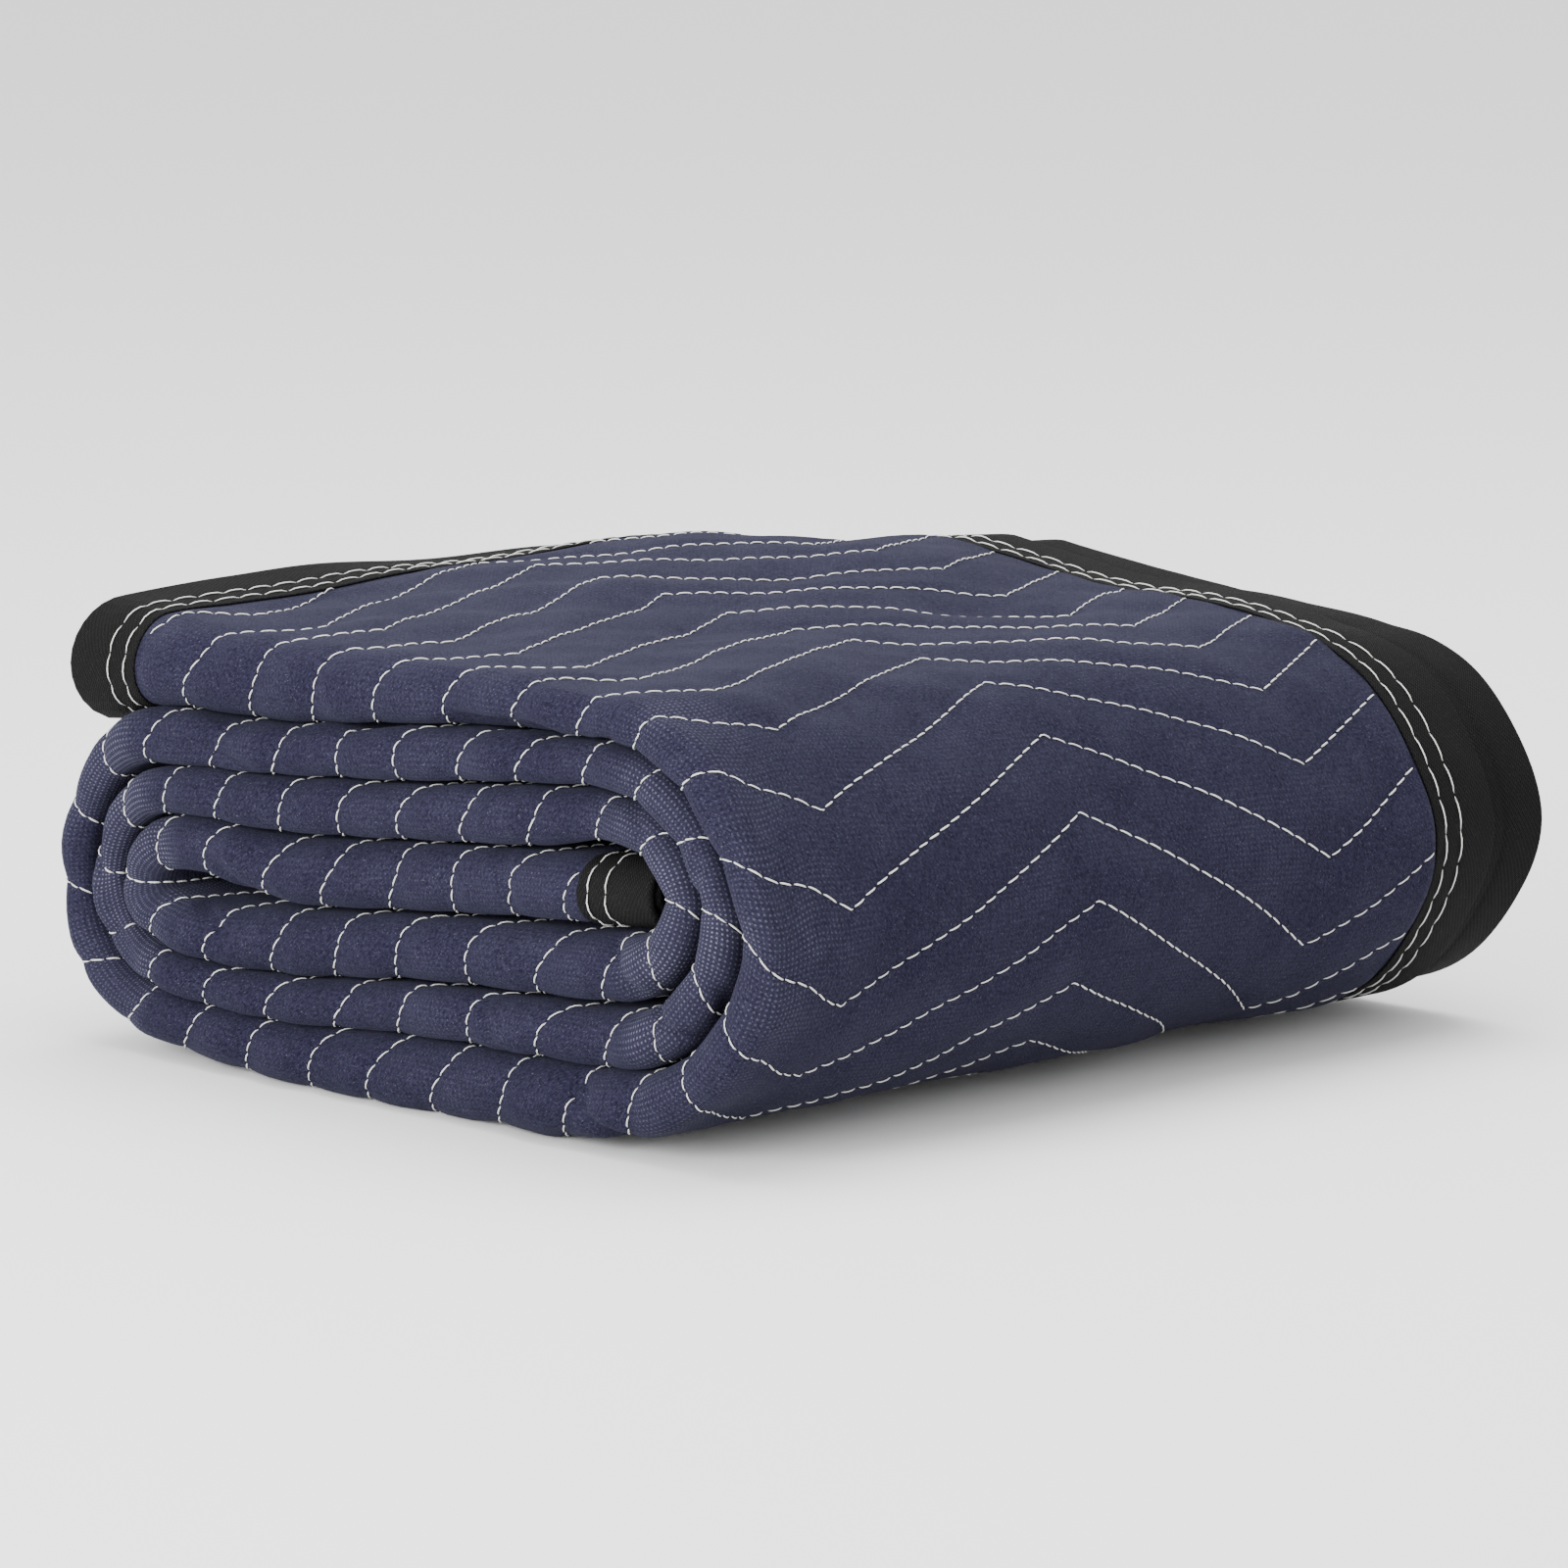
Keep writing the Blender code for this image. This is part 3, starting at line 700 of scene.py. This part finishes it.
def rowStitches():
    # every zigzag row where it shows: over the outside wrap and round each nose
    slant = math.hypot(1.0, quilt["amplitude"] / quilt["halfPeriod"])
    pitch = thread["rowPitch"] / slant
    centres, normals = [], []
    low, high = tape["width"] + 0.0015, route.length - tape["width"] - 0.0015
    for row in range(*quilt["rows"]):
        base = quilt["firstRow"] + row * quilt["rowSpacing"]

        def surface(d, side, out):
            return outerSurface(route.alongOf(base + rowShift(d) + side * slant, d), d, out)

        start = -0.083 + 0.0011 * math.sin(row * 2.4)
        spots, ups = stitchLine(surface, start, rearLine, pitch, thread["rowDash"], thread["turn"])
        d = start + pitch * (np.arange(len(spots)) + 0.5)
        v = route.alongOf(base + rowShift(d), d)
        keep = (v > low) & (v < high) & ((v < quilt["openUntil"]) | (d < 0.004))
        centres.append(spots[keep])
        normals.append(ups[keep])
    return np.concatenate(centres), np.concatenate(normals)


def tapeStitches():
    # two lines along each binding, on the side that faces out
    centres, normals = [], []
    onTape = tape["clothInside"] / 2 + tape["gap"] + tape["thickness"] - 0.0001
    low, high = tape["width"] + 0.003, route.length - tape["width"] - 0.003
    seam = thread["tapePitch"], thread["tapeDash"], thread["tapeTurn"]
    for column, side in ((0, 1), (-1, -1)):
        for inset in tape["stitchInsets"]:
            def surface(v, lean, out):
                _, _, t = route.sample(v)
                _, y, n, _, _, _ = sectionColumns(t)[column]
                across = y - tape["width"] + tape["edgeHem"] + inset + lean
                return placePoints(v, across, n + side * (onTape + out))

            spots, ups = stitchLine(surface, low, high, *seam)
            centres.append(spots)
            normals.append(ups)
    for end, outward in ((0.0, -1.0), (route.length, 1.0)):
        for inset in tape["stitchInsets"]:
            def surface(d, lean, out):
                v = end - outward * (tape["width"] - inset + lean)
                _, _, t = route.sample(v)
                return outerSurface(v, d, onTape + out - clothThickness(t) / 2, False)

            spots, ups = stitchLine(surface, -0.084, rearLine + 0.02, *seam)
            centres.append(spots)
            normals.append(ups)
    return np.concatenate(centres), np.concatenate(normals)


class Value:
    # a socket that takes part in sums: each operator adds one Math node
    def __init__(self, finish, socket):
        self.finish, self.socket = finish, socket

    def sum(self, operation, *others):
        inputs = dict(enumerate((self, *others)))
        return self.finish.node("ShaderNodeMath", {"operation": operation}, inputs)

    def __add__(self, other):
        return self.sum("ADD", other)

    __radd__ = __add__

    def __mul__(self, other):
        return self.sum("MULTIPLY", other)

    __rmul__ = __mul__

    def __sub__(self, other):
        return self.sum("SUBTRACT", other)

    def __rsub__(self, other):
        return self.finish.node("ShaderNodeMath", {"operation": "SUBTRACT"}, {0: other, 1: self})

    def __truediv__(self, other):
        return self.sum("DIVIDE", other)

    def __pow__(self, other):
        return self.sum("POWER", other)

    def ramp(self, low, high):
        # 0 below low, 1 above high, smooth between
        return self.finish.node("ShaderNodeMapRange", {"interpolation_type": "SMOOTHSTEP"},
                                {0: self, 1: low, 2: high})


class Finish:
    # one material: node() makes any node from its type, its settings and its sockets' values or
    # links
    def __init__(self, name):
        self.material = bpy.data.materials.new(name)
        self.material.use_nodes = True
        self.tree = self.material.node_tree
        self.shader = self.tree.nodes["Principled BSDF"]

    def node(self, kind, settings=None, inputs=None, output=0):
        made = self.tree.nodes.new(kind)
        for key, value in (settings or {}).items():
            setattr(made, key, value)
        for key, value in (inputs or {}).items():
            self.plug(value, made.inputs[key])
        return Value(self, made.outputs[output])

    def plug(self, value, socket):
        if isinstance(value, Value):
            self.tree.links.new(value.socket, socket)
        else:
            socket.default_value = value

    def noise(self, place, scale, detail=2.0, roughness=0.5):
        return self.node("ShaderNodeTexNoise", None, {
            "Vector": place, "Scale": scale, "Detail": detail, "Roughness": roughness})

    def mix(self, share, one, two):
        return self.node("ShaderNodeMix", {"data_type": "RGBA"}, {0: share, 6: one, 7: two}, 2)

    def bump(self, height, distance):
        return self.node("ShaderNodeBump", None, {
            "Height": height, "Distance": distance, "Strength": 1.0})

    def ownMap(self):
        # way along the strip and way across the cloth, from the piece's own map
        uvMap = self.node("ShaderNodeUVMap", {"uv_map": "clothMap"})
        return [self.node("ShaderNodeSeparateXYZ", None, {0: uvMap}, k) for k in (0, 1)]

    def objectPlace(self):
        return self.node("ShaderNodeTexCoord", output=3)

    def set(self, **values):
        for key, value in values.items():
            self.plug(value, self.shader.inputs[key])


def clothFinish():
    look = {
        "navy": (0.0188, 0.0172, 0.0362, 1),
        "deep": (0.0042, 0.0037, 0.0105, 1),
        "pale": (0.045, 0.044, 0.074, 1),
        "speck": (0.140, 0.140, 0.180, 1),
        "dotPitch": 0.0021,
    }
    made = Finish("quiltedCloth")
    v, d = made.ownMap()
    bend = made.node("ShaderNodeAttribute", {"attribute_name": "bend"}, output=2)
    place = made.objectPlace()

    # rows: 0 on a row, 0.5 halfway to the next
    slope = -quilt["amplitude"] / quilt["halfPeriod"]
    shift = d.sum("ABSOLUTE").sum("PINGPONG", quilt["halfPeriod"]) * slope
    phase = (v - quilt["firstRow"] - shift) / quilt["rowSpacing"]
    toRow = phase.sum("PINGPONG", 0.5)
    nearRow = 1 - toRow.ramp(0.0, 0.12)
    veryNear = 1 - toRow.ramp(0.0, 0.030)

    # little gathers that the stitches pull into the cloth
    pull = made.noise(made.node("ShaderNodeCombineXYZ", None, {0: v * 70, 1: d * 330}), 1.0, 1.0)

    # embossed points in a diagonal grid, clearest where the cloth is stretched round a bend; the
    # front bends are also painted paler, a painted sheen where light catches them
    step = 2 * math.pi / look["dotPitch"] / math.sqrt(2)
    dots = ((v + d) * step).sum("COSINE") * ((v - d) * step).sum("COSINE")
    points = dots.ramp(0.30, 0.95)
    patch = made.noise(place, 60.0, 3.0, 0.55)
    slow = made.noise(place, 14.0, 1.0, 0.5)
    worn = patch.ramp(0.42, 0.66) * 0.6 + slow.ramp(0.4, 0.65) * 0.4
    stretchAndSheen = bend.ramp(8.0, 40.0) * (1 - d.ramp(-0.034, 0.006))

    # nap: short fibres lying at a slant, with brighter ones here and there
    one, two = v + d * 0.8, v * 0.8 - d
    slant = made.node("ShaderNodeCombineXYZ", None, {0: one * 420, 1: two * 2600})
    hairs = made.noise(slant, 1.0, 2.0, 0.6)
    nap = made.noise(place, 1100.0, 3.0, 0.65)
    fuzz = made.noise(place, 2300.0, 1.0, 0.5)

    colour = made.mix((nap * 0.5 + hairs * 0.5 - 0.5) * 4.2 + 0.45, look["deep"], look["navy"])
    colour = made.mix(worn * 0.10, colour, look["pale"])
    colour = made.mix(hairs.ramp(0.60, 0.74) * 0.26, colour, look["pale"])
    colour = made.mix(fuzz.ramp(0.64, 0.80) * 0.42, colour, look["speck"])
    # painted sheen: the front bends round the noses made paler, and the points there partly real
    # embossed dots, partly a painted highlight
    colour = made.mix(stretchAndSheen * 0.16, colour, look["pale"])
    raised = points * (worn * 0.08 + stretchAndSheen * (0.22 + worn * 0.60))
    colour = made.mix(raised, colour, look["speck"])
    # painted shade: the cloth made darker along each stitched row, in the valley between the pads
    colour = made.mix(veryNear * 0.45, colour, look["deep"])

    height = (nap * 0.22 + hairs * 0.18 + points * (0.02 + stretchAndSheen * 0.14)
              + pull * nearRow * 0.60 + patch * 0.5 - veryNear * 0.25)
    made.set(**{"Base Color": colour, "Roughness": 0.90 - points * 0.10,
                "Normal": made.bump(height, 0.001), "Sheen Weight": 0.035, "Sheen Roughness": 0.45,
                "Sheen Tint": (0.62, 0.66, 0.95, 1), "Specular IOR Level": 0.05})
    return made.material


def tapeFinish():
    look = {
        "black": (0.0015, 0.0015, 0.0015, 1),
        "rib": (0.0110, 0.0110, 0.0109, 1),
        "lint": (0.085, 0.086, 0.088, 1),
        "dust": (0.016, 0.016, 0.0165, 1),
        "ribPitch": 0.0011,
    }
    made = Finish("boundTape")
    v, d = made.ownMap()
    place = made.objectPlace()
    twill = ((v + d * 1.3) * (2 * math.pi / look["ribPitch"])).sum("SINE")
    cross = ((v * 0.6 - d) * (2 * math.pi / look["ribPitch"] / 1.2)).sum("SINE")
    weave = (twill * 0.6 + cross * 0.4) * 0.5 + 0.5
    nap = made.noise(place, 2200.0, 2.0, 0.6)
    lint = made.noise(place, 3600.0, 1.0, 0.5)
    dust = made.noise(place, 45.0, 2.0, 0.5)
    colour = made.mix(weave ** 2 * 0.75 + nap * 0.25, look["black"], look["rib"])
    colour = made.mix(lint.ramp(0.64, 0.78) * 0.30, colour, look["lint"])
    colour = made.mix(dust.ramp(0.5, 0.8) * 0.12, colour, look["dust"])
    height = weave * 0.22 + nap * 0.14 + dust * 0.5
    made.set(**{"Base Color": colour, "Roughness": 0.84 - weave * 0.1,
                "Normal": made.bump(height, 0.001), "Specular IOR Level": 0.06})
    return made.material


def threadFinish():
    look = {"dark": (0.46, 0.46, 0.45, 1), "light": (0.78, 0.78, 0.76, 1)}
    made = Finish("sewingThread")
    place = made.objectPlace()
    fibre = made.noise(place, 2600.0, 2.0, 0.5)
    colour = made.mix(fibre, look["dark"], look["light"])
    made.set(**{"Base Color": colour, "Roughness": 0.6 + fibre * 0.2,
                "Normal": made.bump(fibre, 0.0003)})
    return made.material


def floorFinish():
    made = Finish("paleFloor")
    made.set(**{"Base Color": (0.88, 0.88, 0.88, 1), "Roughness": 0.9})
    return made.material


clothMaterial, tapeMaterial, threadMaterial = clothFinish(), tapeFinish(), threadFinish()
cloth = buildCloth(clothMaterial)
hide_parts("quilted_blanket")
print("cloth", len(cloth.data.polygons), "triangles")

tapes = []
for name, column in (("edge_binding_upper", 0), ("edge_binding_lower", -1)):
    tapes.append(buildEdgeTape("tape_" + name, column, tapeMaterial))
for name, atStart in (("end_binding_outer", True), ("end_binding_inner", False)):
    tapes.append(buildEndTape("tape_" + name, atStart, tapeMaterial))
for piece in tapes:
    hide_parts(piece.name[5:])
print("bindings", [len(piece.data.polygons) for piece in tapes])

rows = buildThread("quilting_stitches", *rowStitches(), threadMaterial)
seams = buildThread("binding_stitches", *tapeStitches(), threadMaterial)
print("stitches", len(rows.data.polygons), len(seams.data.polygons))

# Floor, light and camera
stage = {
    "floor": 6.0,
    "target": (-0.008, -0.0090, 0.066),
    "azimuth": 45.5,
    "elevation": 10.0,
    "distance": 2.8,
    "lens": 229.3,
    "sensor": 36.0,
    "clipEnd": 50.0,
    "right": 0.0071,
    "up": 0.0058,
    "lightAim": (0.0, 0.0, 0.05),
    "lights": (  # name, place, size across and power
        ("softTop", (0.0, 0.2, 1.6), 1.6, 34),
        ("softFront", (0.1, -1.7, 0.45), 1.3, 58),
        ("softSide", (1.7, -0.3, 0.6), 1.2, 3),
    ),
    "worldPower": 1.6,
}


def buildFloor():
    half = stage["floor"] / 2
    mesh = bpy.data.meshes.new("floor")
    corners = [(-half, -half, 0), (half, -half, 0), (half, half, 0), (-half, half, 0)]
    mesh.from_pydata(corners, [], [(0, 1, 2, 3)])
    mesh.materials.append(floorFinish())
    floor = bpy.data.objects.new("floor", mesh)
    bpy.context.scene.collection.objects.link(floor)


def addLight(name, place, size, power):
    lamp = bpy.data.lights.new(name, "AREA")
    lamp.shape, lamp.size, lamp.energy = "DISK", size, power
    item = bpy.data.objects.new(name, lamp)
    item.location = place
    aim = Vector(stage["lightAim"]) - Vector(place)
    item.rotation_euler = aim.to_track_quat("-Z", "Y").to_euler()
    bpy.context.scene.collection.objects.link(item)


def addCamera():
    az, el = math.radians(stage["azimuth"]), math.radians(stage["elevation"])
    back = Vector((math.sin(az) * math.cos(el), -math.cos(az) * math.cos(el), math.sin(el)))
    right = Vector((math.cos(az), math.sin(az), 0))
    up = back.cross(right)
    aim = Vector(stage["target"]) + right * stage["right"] + up * stage["up"]
    lens = bpy.data.cameras.new("camera")
    lens.lens, lens.sensor_width, lens.clip_end = stage["lens"], stage["sensor"], stage["clipEnd"]
    camera = bpy.data.objects.new("camera", lens)
    camera.location = aim + back * stage["distance"]
    camera.rotation_euler = back.to_track_quat("Z", "Y").to_euler()
    bpy.context.scene.collection.objects.link(camera)
    bpy.context.scene.camera = camera


buildFloor()
for light in stage["lights"]:
    addLight(*light)
addCamera()
world = bpy.data.worlds.new("studio")
bpy.context.scene.world = world
world.use_nodes = True
background = world.node_tree.nodes["Background"].inputs
background[0].default_value, background[1].default_value = (1, 1, 1, 1), stage["worldPower"]
print("stage set")
